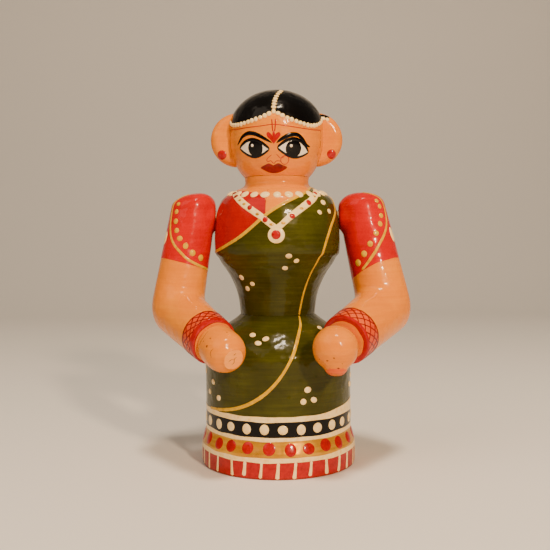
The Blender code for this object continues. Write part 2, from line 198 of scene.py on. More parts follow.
finishes = {
    "green": lacquer("lacquerOliveGreen", "3B3A03", "2B2A01", "4C4C07", streak=0.45, gloss=0.3),
    "sleeve": lacquer("lacquerSleeveRed", "C40200", "B00100", "D60A04"),
    "blouse": lacquer("lacquerBlouseRed", "AE0200", "980000", "BE0803"),
    "skin": lacquer("lacquerSkin", "EA8404", "E07A02", "F2920E", rough=0.24, streak=0.5, dirt=0.25),
    "hair": lacquer("lacquerHairBlack", "060403", "030202", "0C0908", rough=0.2, gloss=0.3),
    "red": enamel("enamelRed", "A80200", "B80603", "900100"),
    "maroon": enamel("enamelMaroon", "7A0200", "8C0602", "600000"),
    "wash": lacquer("lacquerRoseWash", "DA4A10", "C83808", "E66020"),
    "line": enamel("enamelLineRed", "B01C08", "C0280E", "941204"),
    "cream": enamel("enamelCream", "FFDC92", "FFE8B4", "F4C878"),
    "yellow": enamel("enamelYellow", "D29E00", "DEAE00", "B68200", gloss=0.25),
    "gold": lacquer("lacquerGold", "C88A0A", "A86C04", "E8AE2C", rough=0.3, metal=0.35),
    "black": enamel("enamelBlack", "050303", "0A0707", "020202", rough=0.22, gloss=0.2),
    "white": enamel("enamelEyeWhite", "F6E6CC", "FBF0DE", "EAD4B0"),
    "worn": lacquer("wornHandTip", "FFA040", "F08C28", "FFB45C", rough=0.45, dirt=0.9, gloss=0.1),
    "rubbed": lacquer("rubbedNub", "E8641C", "CC4410", "F08438", rough=0.4, dirt=0.8, gloss=0.2),
    "chip": enamel("chippedDark", "5A1A08", "7A2A0E", "3A0E04", rough=0.55),
    "wood": bareWood("turnedPaleWood"),
}
print("finishes mixed:", len(finishes))


def smoothRun(points, step=0.5, closed=False):
    # points along a Catmull-Rom curve through these ones, about step apart
    knots = [Vector(p) for p in points]
    if closed:
        knots = [knots[-1], *knots, knots[0], knots[1]]
    else:
        knots = [2 * knots[0] - knots[1], *knots, 2 * knots[-1] - knots[-2]]
    run = []
    for a, b, c, d in zip(knots, knots[1:], knots[2:], knots[3:]):
        pieces = max(1, round((c - b).length / step))
        for i in range(pieces):
            t = i / pieces
            run.append(0.5 * (
                2 * b + (c - a) * t + (2 * a - 5 * b + 4 * c - d) * t ** 2
                + (3 * b - a - 3 * c + d) * t ** 3
            ))
    if not closed:
        run.append(knots[-2])
    return run


class Turned:
    # A lathe-turned skin. A place on it is an angle in degrees from the front, positive
    # towards the doll's left, and a height along its axis. Lift is the height of the paint.

    def __init__(self, runs, base=None):
        line = []
        for run in runs:  # each run is smooth, and the edge between two runs stays sharp
            line += smoothRun(run, 0.4)[:-1]
        line.append(Vector(runs[-1][-1]))
        self.line = line
        self.base = base or Matrix.Identity(4)
        self.runs = [0.0]
        for a, b in zip(line, line[1:]):
            self.runs.append(self.runs[-1] + (b - a).length)
        self.length = self.runs[-1]

    def runAt(self, height):
        for i in range(len(self.line) - 1):
            low, high = self.line[i].y, self.line[i + 1].y
            if low <= height <= high and high > low:
                return self.runs[i] + (self.runs[i + 1] - self.runs[i]) * (height - low) / (high - low)
        return 0.0 if height < self.line[0].y else self.length

    def ring(self, run):
        # radius, height and the outward slope at a distance along the side
        run = min(max(run, 0), self.length)
        low, high = 0, len(self.runs) - 1
        while high - low > 1:
            half = (low + high) // 2
            if self.runs[half] <= run:
                low = half
            else:
                high = half
        share = (run - self.runs[low]) / max(self.runs[high] - self.runs[low], 1e-9)
        here = self.line[low].lerp(self.line[high], share)
        before = self.line[max(low - 1, 0)]
        after = self.line[min(high + 1, len(self.line) - 1)]
        along = (after - before).normalized()
        return here.x, here.y, along.y, -along.x

    def onRun(self, angle, run, lift=0.0):
        radius, height, out, up = self.ring(run)
        radius, height = radius + out * lift, height + up * lift
        turn = math.radians(angle)
        local = Vector((radius * math.sin(turn), -radius * math.cos(turn), height))
        return self.base @ local

    def radiusAt(self, height):
        return self.ring(self.runAt(height))[0]


class Coat:
    # collects the faces of one painted piece, then makes its object

    def __init__(self, name, finish, body):
        self.name, self.finish, self.body = name, finish, body
        self.points, self.faces = [], []

    def add(self, points, faces):
        start = len(self.points)
        self.points += points
        self.faces += [[start + i for i in face] for face in faces]

    def make(self, replaced=(), sharp=40):
        mesh = bpy.data.meshes.new(self.name)
        mesh.from_pydata([tuple(p * mm) for p in self.points], [], self.faces)
        mesh.validate()
        mesh.shade_smooth()
        mesh.set_sharp_from_angle(angle=math.radians(sharp))
        mesh.materials.append(finishes[self.finish])
        piece = bpy.data.objects.new(self.name, mesh)
        bpy.context.scene.collection.objects.link(piece)
        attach(piece, self.body)
        if replaced:
            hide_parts(*replaced)
        return piece


def grid(rows, closedAcross=True):
    # faces that join rows of points
    points = [p for row in rows for p in row]
    count = len(rows[0])
    faces = []
    for r in range(len(rows) - 1):
        for i in range(count if closedAcross else count - 1):
            j = (i + 1) % count
            faces.append([r * count + i, r * count + j, (r + 1) * count + j, (r + 1) * count + i])
    return points, faces


def capped(rows, start, end):
    # a closed skin of rows with one point at each end
    points, faces = grid(rows)
    count = len(rows[0])
    points += [start, end]
    first, last = len(points) - 2, len(points) - 1
    for i in range(count):
        j = (i + 1) % count
        faces.append([first, j, i])
        top = (len(rows) - 1) * count
        faces.append([last, top + i, top + j])
    return points, faces


def zone(coat, skin, low, high, lift=0.05, step=1.0, count=240, wander=0.0):
    # colour laid all round between two heights, each a number or a function of the angle
    lowAt = low if callable(low) else (lambda angle: low)
    highAt = high if callable(high) else (lambda angle: high)
    angles = [360 * i / count - 180 for i in range(count)]

    def edge(value, angle, salt):
        turn = math.radians(angle)
        place = Vector((math.cos(turn) * 4, math.sin(turn) * 4, salt))
        return value + wander * noise.noise(place)

    spans = [
        (skin.runAt(edge(lowAt(a), a, 1.3)), skin.runAt(edge(highAt(a), a, 5.9))) for a in angles
    ]
    rows = max(2, round(max(b - a for a, b in spans) / step))
    made = [[skin.onRun(a, span[0], -sink) for a, span in zip(angles, spans)]]
    for r in range(rows + 1):
        share = r / rows
        made.append([
            skin.onRun(a, span[0] + max(span[1] - span[0], 0.0) * share, lift)
            for a, span in zip(angles, spans)
        ])
    made.append([skin.onRun(a, max(span), -sink) for a, span in zip(angles, spans)])
    coat.add(*grid(made))


def patch(coat, skin, outline, lift=0.06, step=0.8):
    # colour laid inside an outline of (angle, height) points
    middle = sum(p[1] for p in outline) / len(outline)
    perDegree = skin.radiusAt(middle) * math.pi / 180
    edge = [Vector((a * perDegree, skin.runAt(h))) for a, h in outline]
    lowX, highX = min(p.x for p in edge), max(p.x for p in edge)
    lowY, highY = min(p.y for p in edge), max(p.y for p in edge)

    def inside(p):
        odd = False
        for a, b in zip(edge, edge[1:] + edge[:1]):
            if (a.y > p.y) != (b.y > p.y) and p.x < (b.x - a.x) * (p.y - a.y) / (b.y - a.y) + a.x:
                odd = not odd
        return odd

    flat = list(edge)
    y = lowY + step / 2
    while y < highY:
        x = lowX + step / 2
        while x < highX:
            p = Vector((x, y))
            if inside(p) and min((p - e).length for e in edge) > step * 0.45:
                flat.append(p)
            x += step
        y += step
    count = len(edge)
    bounds = [(i, (i + 1) % count) for i in range(count)]
    points, _, faces, source, _, _ = delaunay_2d_cdt(flat, bounds, [], 1, 1e-5)
    top = [skin.onRun(p.x / perDegree, p.y, lift) for p in points]
    faces = [list(face) for face in faces]
    foot = {}
    for i, origins in enumerate(source):
        if any(o < count for o in origins):
            foot[i] = len(top) + len(foot)
    rim = [skin.onRun(points[i].x / perDegree, points[i].y, -sink) for i in foot]
    used = {}
    for face in faces:
        for a, b in zip(face, face[1:] + face[:1]):
            used[(a, b)] = True
    for a, b in list(used):
        if (b, a) not in used and a in foot and b in foot:
            faces.append([b, a, foot[a], foot[b]])
    coat.add(top + rim, faces)


def dome(coat, onSkin, rise, sides):
    # a low round dome, where onSkin gives the place for how far across and up a point is
    rows = []
    for share, lift in ((1.0, -sink), (0.96, 0.35 * rise), (0.8, 0.72 * rise), (0.45, 0.95 * rise)):
        turns = [math.tau * i / sides for i in range(sides)]
        rows.append([onSkin(share * math.cos(t), share * math.sin(t), lift) for t in turns])
    points, faces = grid(rows)
    points.append(onSkin(0, 0, rise))
    top = len(rows) * sides - sides
    faces += [[top + i, top + (i + 1) % sides, len(points) - 1] for i in range(sides)]
    coat.add(points, faces)


def dab(coat, skin, angle, height, radius, rise=0.22, tall=1.0, lean=0.0, shaky=0.08, sides=18):
    # one touch of a loaded brush on a turned skin
    run = skin.runAt(height)
    perDegree = max(skin.radiusAt(height), 1.0) * math.pi / 180
    wide = radius * (1 + hand.uniform(-shaky, shaky))
    high = radius * tall * (1 + hand.uniform(-shaky, shaky))
    turn = math.radians(lean)

    def onSkin(across, up, lift):
        x, y = wide * across, high * up
        x, y = x * math.cos(turn) - y * math.sin(turn), x * math.sin(turn) + y * math.cos(turn)
        return skin.onRun(angle + x / perDegree, run + y, lift)

    dome(coat, onSkin, rise, sides)


def stroke(coat, skin, path, width, rise=0.12, taper=1.0, widths=None, shaky=0.06, lift=0.0):
    # a brush line through (angle, height) places. widths are shares of width along it.
    middle = sum(p[1] for p in path) / len(path)
    perDegree = max(skin.radiusAt(middle), 1.0) * math.pi / 180
    flat = [Vector((a * perDegree, skin.runAt(h))) for a, h in path]
    line = smoothRun(flat, 0.35)
    total = sum((b - a).length for a, b in zip(line, line[1:]))
    rows, gone = [], 0.0
    salt = hand.uniform(0, 100)
    for i, here in enumerate(line):
        if i:
            gone += (here - line[i - 1]).length
        along = (line[min(i + 1, len(line) - 1)] - line[max(i - 1, 0)]).normalized()
        side = Vector((along.y, -along.x))
        share = gone / max(total, 1e-6)
        half = width / 2
        if widths:
            place = share * (len(widths) - 1)
            k = min(int(place), len(widths) - 2)
            half *= widths[k] + (widths[k + 1] - widths[k]) * (place - k)
        half *= 1 + shaky * noise.noise(Vector((gone * 0.7, salt, 0)))
        ends = min(gone, total - gone)
        if ends < taper * width and taper:
            half *= math.sqrt(max(1 - (1 - ends / (taper * width)) ** 2, 0.02))
        low = min(1.0, half / (width * 0.25))
        row = []
        for across, up in ((-1, 0), (-0.82, 0.55), (-0.3, 0.95), (0.3, 0.95), (0.82, 0.55), (1, 0)):
            spot = here + side * half * across
            raised = up * rise * low + lift if up else -sink
            row.append(skin.onRun(spot.x / perDegree, spot.y, raised))
        rows.append(row)
    points, faces = grid(rows, closedAcross=False)
    coat.add(points, faces + [[5, 4, 3, 2, 1, 0], [len(points) - 6 + i for i in range(6)]])


# the body is a skirt and a torso, turned on one lathe
bodySizes = {
    "footRadius": 30.4, "footHeight": 9.3, "footEdge": 0.6, "sweep": 5.3,
    "skirtRadius": 28.8, "skirtHeight": 45.2, "hipRise": 10.1, "shelfRadius": 19.6,
    "waistRadius": 14.8, "flareRise": 22.2, "flareRadius": 23.3, "bustRadius": 24.9,
    "bustEdge": 1.5, "bustRise": 7.4, "shoulderRise": 18.1, "shoulderTop": 15.4,
    "neckRadius": 12.6, "neckSweep": 2.2,
}
waistSeam = (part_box("skirt")[1].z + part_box("torso")[0].z) / 2 / mm
neckSeam = (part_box("torso")[1].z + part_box("head")[0].z) / 2 / mm
hairGap = 0.06  # half the hairline crack left at a glued or turning joint


def between(start, end, shares):
    return [(start[0] + (end[0] - start[0]) * r, start[1] + (end[1] - start[1]) * h) for r, h in shares]


def skirtSkin():
    s = bodySizes
    foot = (s["footRadius"], s["footHeight"])
    skirt = (s["skirtRadius"], s["footHeight"] + s["sweep"])
    hips = (s["skirtRadius"] - 0.4, s["skirtHeight"])
    shelf = (s["shelfRadius"], s["skirtHeight"] + s["hipRise"])
    waist = (s["waistRadius"], waistSeam - hairGap)
    edge = s["footEdge"]
    return Turned([
        [(foot[0] - edge, 0), (foot[0] - 0.3 * edge, 0.3 * edge), (foot[0], edge)],
        [(foot[0], edge), (foot[0] + 0.05, 0.5 * foot[1]), foot],
        between(foot, skirt, [(0, 0), (0.14, 0.12), (0.5, 0.42), (0.86, 0.76), (1, 1)]),
        [skirt, (s["skirtRadius"], 30), (s["skirtRadius"], s["skirtHeight"] - 2.5), hips],
        between(hips, shelf, [(0, 0), (0.13, 0.22), (0.33, 0.44), (0.67, 0.76), (1, 1)]),
        between(shelf, waist, [(0, 0), (0.55, 0.5), (1, 1)]),
    ])


def torsoSkin():
    s = bodySizes
    waist = (s["waistRadius"], waistSeam + hairGap)
    flare = (s["flareRadius"], waistSeam + s["flareRise"])
    bust = (s["bustRadius"] - 0.3, flare[1] + s["bustEdge"])
    shoulder = (s["bustRadius"], bust[1] + s["bustRise"])
    slope = (s["shoulderTop"], shoulder[1] + s["shoulderRise"])
    neck = (s["neckRadius"], slope[1] + s["neckSweep"])
    flares = [(0, 0), (0.07, 0.24), (0.19, 0.43), (0.4, 0.62), (0.62, 0.77), (0.86, 0.9), (1, 1)]
    slopes = [(0.055, 0.36), (0.135, 0.56), (0.265, 0.73), (0.4, 0.82), (0.66, 0.92), (1, 1)]
    return Turned([
        between(waist, flare, flares),
        [flare, bust],
        [bust, (s["bustRadius"], bust[1] + 3), shoulder, *between(shoulder, slope, slopes),
         (slope[0] - 1.7, slope[1] + 0.8), neck, (s["neckRadius"] + 0.1, neckSeam - hairGap)],
    ])


def revolve(coat, skin, start, end, sides=192):
    # the whole turned skin, closed at both ends on its axis
    steps = max(8, round(skin.length / 0.8))
    rows = []
    for run in (round(skin.length * i / steps, 4) for i in range(steps + 1)):
        rows.append([skin.onRun(360 * i / sides, run) for i in range(sides)])
    coat.add(*capped(rows, skin.base @ Vector((0, 0, start)), skin.base @ Vector((0, 0, end))))


skirt = skirtSkin()
torso = torsoSkin()
greens = Coat("skirt_turned", "green", "doll_body")
revolve(greens, skirt, 0.0, waistSeam - hairGap)
greens.make(["skirt"], sharp=28)
greens = Coat("torso_turned", "green", "doll_body")
revolve(greens, torso, waistSeam + hairGap, neckSeam - hairGap)
greens.make(["torso"], sharp=28)
foot = Coat("foot_underside", "wood", "doll_body")
rows = [
    [Vector((r * math.sin(math.tau * i / 96), r * math.cos(math.tau * i / 96), -0.01)) for i in range(96)]
    for r in (3, 12, 21, 29.4)
]
points, faces = grid(rows)
foot.add(points + [Vector((0, 0, -0.01))], faces + [[(i + 1) % 96, i, len(points)] for i in range(96)])
foot.make()
print("body turned")


# the painted hem runs round the foot and the sweep above it
hem = {
    "sag": 0.8,  # the bands dip this much at the front
    "redLow": 0.25, "redTop": 7.4, "goldLow": 8.6, "goldTop": 15.0, "blackLow": 15.8, "blackTop": 22.0,
    "creamLines": [(7.1, 8.9, 0.3), (14.6, 16.1, 0.3), (21.7, 23.7, 2.6)],  # edges, and flare at one side
    "strokes": 30, "strokeWidth": (1.3, 1.9), "strokeShape": [1.05, 0.9, 0.72, 0.8],
    # how many, the angle of the first, height, radius, unsteadiness round and up, rise, stretch
    "dots": {
        "red": (25, 7.2, 11.9, 2.45, 1.6, 0.25, 0.3, 0.98),
        "cream": (26, 3.0, 18.9, 1.9, 1.0, 0.2, 0.32, 1.0),
    },
}


def dipped(height, flare=0.0):
    # a band's height round the skirt, which dips at the front and may flare up at one side
    def at(angle):
        turn = math.radians(angle)
        side = max(0.0, math.sin(turn)) ** 4
        return height - hem["sag"] * max(0.0, math.cos(turn)) + flare * side

    return at


def paintHem():
    lines = Coat("hem_lines_cream", "cream", "doll_body")
    for low, high, flare in hem["creamLines"]:
        zone(lines, skirt, dipped(low), dipped(high, flare), lift=0.12, step=0.3, wander=0.3)
    lines.make()
    for finish, low, high, lift, step in (
        ("red", hem["redLow"], dipped(hem["redTop"]), 0.05, 1.0),
        ("gold", dipped(hem["goldLow"]), dipped(hem["goldTop"]), 0.08, 0.35),
        ("black", dipped(hem["blackLow"]), dipped(hem["blackTop"]), 0.05, 1.0),
    ):
        band = Coat(f"hem_band_{finish}", finish, "doll_body")
        zone(band, skirt, low, high, lift=lift, step=step)
        band.make()
    strokes = Coat("hem_strokes_cream", "cream", "doll_body")
    for i in range(hem["strokes"]):
        angle = 360 * i / hem["strokes"] + hand.uniform(-1.0, 1.0)
        lean = hand.uniform(-1.4, 1.4)
        width = hand.uniform(*hem["strokeWidth"])
        low = hand.uniform(0.3, 1.1)
        path = [(angle + lean, low), (angle + lean * 0.4, 3.6), (angle, dipped(7.3)(angle))]
        stroke(strokes, skirt, path, width, rise=0.1, taper=0.35, widths=hem["strokeShape"], lift=0.05)
    strokes.make()
    for finish, (count, first, height, radius, aside, above, rise, tall) in hem["dots"].items():
        dots = Coat(f"hem_dots_{finish}", finish, "doll_body")
        for i in range(count):
            angle = 360 * i / count + first + hand.uniform(-aside, aside)
            place = dipped(height)(angle) + hand.uniform(-above, above)
            dab(dots, skirt, angle, place, radius, rise=rise, tall=tall)
        dots.make()


paintHem()
print("hem painted")


def level(marks):
    # a height that runs straight from mark to mark round the body, from (angle, height) pairs
    marks = sorted(marks)
    marks = [(marks[-1][0] - 360, marks[-1][1]), *marks, (marks[0][0] + 360, marks[0][1])]

    def at(angle):
        for (a, low), (b, high) in zip(marks, marks[1:]):
            if a <= angle <= b:
                return low + (high - low) * (angle - a) / max(b - a, 1e-6)
        return marks[0][1]

    return at


drape = {
    # the edge of the sari where it crosses the blouse, then round the back to the other shoulder
    "blouseEdge": [(-179, 83.4), (-120, 83.2), (-95, 83.3), (-73, 84.0), (-58, 85.2), (-46, 86.9),
                   (-37, 88.6), (-29, 90.7), (-22, 93.0), (-16, 95.2), (-7, 98.2), (5, 101.3), (15, 103.2),
                   (25, 104.8), (35, 106.2), (48, 107.6), (62, 108.4), (100, 108.4), (112, 107.0),
                   (122, 103.0), (132, 96.5), (144, 89.5), (158, 85.0), (170, 83.6)],
    "neckline": [(-179, 107.0), (-120, 107.3), (-60, 107.2), (-40, 106.7), (-28, 105.9), (-18, 104.9),
                 (-12, 103.6), (-11, 102.6), (-10.4, 97.4), (-7, 98.0), (5, 101.2), (15, 103.1),
                 (25, 104.7), (35, 106.1), (48, 107.5), (62, 108.3), (100, 108.3), (140, 107.6)],
    "pleatTorso": [(88, 105.4), (79, 102.6), (71, 99.0), (63, 96.0), (57, 93.4), (52, 90.4), (48, 87.4),
                   (44.5, 83.6), (42.2, 80.4), (41, 77.5), (40, 73.5), (38.6, 68.5), (36.4, 64.0),
                   (33.4, waistSeam + 0.15)],
    "pleatSkirt": [(33.2, waistSeam - 0.15), (28, 56.2), (20.5, 53.0), (15, 49.2), (11.5, 46.0),
                   (8, 42.8), (3, 38.6), (-4, 34.2), (-13, 30.2), (-24, 27.0), (-36, 25.0),
                   (-50, 23.9), (-66, 23.3)],
}


def paintDress():
    coat = Coat("blouse_red", "blouse", "doll_body")
    zone(coat, torso, level(drape["blouseEdge"]), level([(a, max(h, 108.6)) for a, h in drape["neckline"]]),
         lift=0.05, step=1.2, count=360)
    coat.make()
    coat = Coat("neck_skin", "skin", "doll_body")
    zone(coat, torso, level(drape["neckline"]), neckSeam, lift=0.08, step=0.8, count=720)
    coat.make()
    coat = Coat("sari_border_yellow", "yellow", "doll_body")
    front = [mark for mark in drape["blouseEdge"] if -130 < mark[0] <= 100]
    stroke(coat, torso, front, 1.15, rise=0.16, lift=0.08, widths=[0.9, 1.0, 1.2, 1.1, 0.9, 0.8])
    back = [mark for mark in drape["blouseEdge"] if mark[0] >= 100] + [(181, 83.4), (240, 83.2)]
    stroke(coat, torso, back, 0.95, rise=0.16, lift=0.08)
    stroke(coat, torso, drape["pleatTorso"], 1.2, rise=0.16, lift=0.02, taper=0.25,
           widths=[0.8, 1.3, 1.3, 1.0, 0.7, 1.1, 1.15])
    stroke(coat, skirt, drape["pleatSkirt"], 1.25, rise=0.16, lift=0.02, taper=0.25,
           widths=[1.1, 1.3, 0.9, 1.2, 1.1, 0.9])
    coat.make()


def triple(coat, skin, marks, radius, tall):
    for (angle, height), size, stretch in zip(marks, radius, tall):
        dab(coat, skin, angle, height, size, rise=0.28, tall=stretch, lean=hand.uniform(-25, 25))


motifs = {
    # groups of three dabs: places, then sizes
    "torso": [
        [(50, 102.2), (41.5, 98.3), (56, 98.9)], [(10, 81.9), (18, 80.1), (7.5, 77.4)],
        [(-48, 73.7), (-33.5, 71.3), (-44, 69.4)],
        [(100, 92), (110, 90), (104, 87.6)], [(168, 75), (178, 73), (172, 70.5)],
        [(100, 72), (112, 70), (105, 67.5)],
    ],
    "skirt": [
        [(-24.5, 52.4), (-11, 51.2), (-17, 49.7)], [(50, 54.2), (60, 52.2), (53, 50.5)],
        [(-60, 33.8), (-67, 29.6), (-52, 28.2)], [(22, 32.6), (18.5, 28.3), (27, 28.7)],
        [(76, 31.4), (83, 34.6), (86, 30.6)], [(118, 37), (126, 35), (121, 31.8)],
        [(160, 32), (168, 30), (162, 27.6)], [(-105, 36), (-97, 34), (-102, 31)],
        [(-142, 30), (-134, 32.4), (-136, 28)], [(104, 50.6), (114, 52), (110, 49.2)],
        [(-110, 51), (-100, 52.4), (-104, 49)], [(178, 51), (188, 52.2), (184, 49)],
        [(200, 40), (208, 38), (203, 35)], [(-76, 41.2), (-84, 39), (-80, 36.8)],
    ],
}


def paintMotifs():
    coat = Coat("sari_dabs_cream", "cream", "doll_body")
    for marks in motifs["torso"]:
        triple(coat, torso, marks, (1.35, 1.15, 1.2), (0.85, 0.8, 0.85))
    for marks in motifs["skirt"]:
        triple(coat, skirt, marks, (1.35, 1.25, 1.3), (0.8, 0.85, 0.8))
    coat.make()


paintDress()
paintMotifs()
print("dress painted")


# two necklaces, pearls above and a jewelled band below
jewels = {
    "pearlsBehind": 107.4, "pearlsDip": 2.5,  # height at the back, and the dip at the front
    "pearls": 30, "pearlRadius": 1.6,
    "bandLeft": [(62, 107.6), (50, 106.2), (38, 103.6), (28, 101.2), (19, 98.8), (10, 96.0),
                 (3, 93.3), (-1, 92.2)],
    "bandRight": [(-66, 107.0), (-52, 105.6), (-40, 103.3), (-30, 100.8), (-21, 98.5), (-13, 96.2),
                  (-6, 93.7), (-1, 92.2)],
    "redStones": [(-25.5, 100.0), (-10.5, 95.4), (30.5, 101.8), (13.0, 96.7), (46, 105.6)],
    "darkStones": [(-55, 105.9), (-46, 104.5)],
    "goldStones": [(-38, 102.9), (-17.5, 97.5), (-5, 93.6), (22, 99.5), (40, 104.2), (-32, 101.4),
                   (5, 94.1)],
    "bandWidth": 2.75, "stoneRadius": 1.15, "goldRadius": 0.95, "darkRadius": 1.1,
    "pendant": (-1, 89.7), "pendantRadius": 3.15, "pendantStone": (-1.2, 89.8), "pendantStoneRadius": 1.85,
}


def paintJewels():
    pearls = Coat("neck_pearls", "cream", "doll_body")
    for i in range(jewels["pearls"]):
        angle = 360 * i / jewels["pearls"]
        front = (1 + math.cos(math.radians(angle))) / 2
        height = jewels["pearlsBehind"] - jewels["pearlsDip"] * front ** 2
        size = jewels["pearlRadius"] * (0.8 + 0.25 * front)
        dab(pearls, torso, angle + hand.uniform(-1, 1), height, size, rise=0.5, shaky=0.1, tall=1.1)
    pearls.make()
    band = Coat("necklace_band", "cream", "doll_body")
    for side in ("bandLeft", "bandRight"):
        stroke(band, torso, jewels[side], jewels["bandWidth"], rise=0.2, lift=0.1, taper=0.3,
               widths=[0.8, 1, 1.05, 0.95, 0.8])
    dab(band, torso, *jewels["pendant"], jewels["pendantRadius"], rise=0.42, shaky=0.02, sides=32)
    band.make()
    red = Coat("necklace_stones_red", "red", "doll_body")
    for angle, height in jewels["redStones"]:
        dab(red, torso, angle, height, jewels["stoneRadius"], rise=0.5)
    dab(red, torso, *jewels["pendantStone"], jewels["pendantStoneRadius"], rise=0.85, shaky=0.02, sides=28)
    red.make()
    gold = Coat("necklace_stones_gold", "gold", "doll_body")
    for angle, height in jewels["goldStones"]:
        dab(gold, torso, angle, height, jewels["goldRadius"], rise=0.42, tall=0.65)
    gold.make()
    dark = Coat("necklace_stones_dark", "maroon", "doll_body")
    for angle, height in jewels["darkStones"]:
        dab(dark, torso, angle, height, jewels["darkRadius"], rise=0.62, tall=0.7, lean=20)
    dark.make()


paintJewels()
print("necklaces painted")


# the head is a ball with two ears glued on
headSizes = {
    "radius": 18.6, "height": 34.5, "seatRadius": 12.8, "cheekHeight": 15.0, "crownHeight": 19.0,
    "earRadius": 10.7, "earOut": 7.6, "earThickness": 6.4,
}


def headSkin():
    s = headSizes
    slack = math.sqrt(1 - (s["seatRadius"] / s["radius"]) ** 2)
    fall = s["cheekHeight"] / slack
    low = math.asin((s["cheekHeight"] - hairGap) / fall)
    cheeks = [
        (s["radius"] * math.cos(low * (1 - i / 10)), s["cheekHeight"] - fall * math.sin(low * (1 - i / 10)))
        for i in range(11)
    ]
    rise = s["height"] - s["crownHeight"]
    crown = [
        (max(s["radius"] * math.cos(turn), 0.02), s["crownHeight"] + rise * math.sin(turn))
        for turn in (math.pi / 2 * i / 14 for i in range(15))
    ]
    side = [(r, neckSeam + h) for r, h in cheeks + crown]
    return Turned([side])


head = headSkin()
earDots = {
    # places on the front of an ear count outwards and up from its middle
    "stud": (6.1, -6.0), "studRadius": 1.85,
    "strayHair": [(0.6, 9.2), (1.7, 9.3), (2.8, 9.2), (3.8, 9.0), (4.6, 8.7)], "strayHairRadius": 0.75,
    "strayPearls": [(1.5, 7.9), (3.0, 8.0), (4.5, 7.7)], "strayPearlRadius": 0.8,
}


def makeHead():
    coat = Coat("head_turned", "skin", "head")
    top = neckSeam + headSizes["height"]
    revolve(coat, head, neckSeam + hairGap, top, sides=160)
    coat.make(["head"])


def makeEars():
    # each ear is a thick round disc with a soft rim and a shallow hollow in front
    s = headSizes
    middle = s["radius"] + s["earOut"] - s["earRadius"]
    half = s["earThickness"] / 2
    side = [
        (0.05, -0.9 * half), (3.5, -0.91 * half), (6.2, -0.94 * half), (8.0, -0.95 * half),
        (9.3, -0.8 * half), (10.3, -0.45 * half), (s["earRadius"], 0.0), (10.3, 0.5 * half),
        (9.2, 0.85 * half), (7.5, half), (0.05, half),
    ]
    for word, out in (("left", 1), ("right", -1)):
        base = Matrix.Translation((out * middle, 0, neckSeam + s["cheekHeight"]))
        base = base @ Matrix.Rotation(math.radians(-90), 4, "X")
        coat = Coat(f"ear_{word}_carved", "skin", "head")
        line = smoothRun(side, 0.4)
        rows = []
        for p in line[1:-1]:
            rows.append([
                base @ Vector((p.x * math.cos(math.tau * i / 72), p.x * math.sin(math.tau * i / 72), p.y))
                for i in range(72)
            ])
        coat.add(*capped(rows, base @ Vector((0, 0, line[0].y)), base @ Vector((0, 0, line[-1].y))))
        coat.make([f"ear_{word}"])
        stud = Coat(f"ear_{word}_stud_red", "red", "head")
        dome(stud, onEar(base, line, out, earDots["stud"], earDots["studRadius"]), 0.3, 28)
        stud.make()
        if word == "left":
            # the hair and its pearls run on over the edge of this ear
            stray = Coat("ear_left_stray_hair", "black", "head")
            for spot in earDots["strayHair"]:
                dome(stray, onEar(base, line, out, spot, earDots["strayHairRadius"]), 0.12, 16)
            stray.make()
            stray = Coat("ear_left_stray_pearls", "cream", "head")
            for spot in earDots["strayPearls"]:
                dome(stray, onEar(base, line, out, spot, earDots["strayPearlRadius"]), 0.5, 18)
            stray.make()


def onEar(base, line, out, spot, radius):
    # places on the front of an ear, round a spot that counts outwards and up from its middle
    def place(across, up, lift):
        aside, above = spot[0] + radius * across, spot[1] + radius * up
        return base @ Vector((out * aside, -above, faceHeight(line, math.hypot(aside, above)) - lift))

    return place


def faceHeight(line, far):
    # height of the front of an ear at this distance from its middle
    for a, b in zip(line, line[1:]):
        if a.x <= far <= b.x:
            return a.y + (b.y - a.y) * (far - a.x) / max(b.x - a.x, 1e-6)
    return line[0].y


hairLine = [
    (-4, 136.6), (4, 135.4), (11, 134.2), (20, 133.2), (29, 132.4), (37, 131.9), (47, 131.8), (58, 132.6),
    (68, 134.0), (80, 136.0), (92, 137.4), (104, 134.0), (120, 124.0), (140, 118.5), (160, 116.6),
    (179, 116.0),
    (-160, 116.6), (-140, 118.5), (-120, 124.0), (-104, 134.0), (-92, 137.0), (-79, 134.6), (-66, 132.9),
    (-55, 132.6), (-46, 132.6), (-38, 132.9), (-29, 133.5), (-20, 134.3), (-11, 135.3),
]

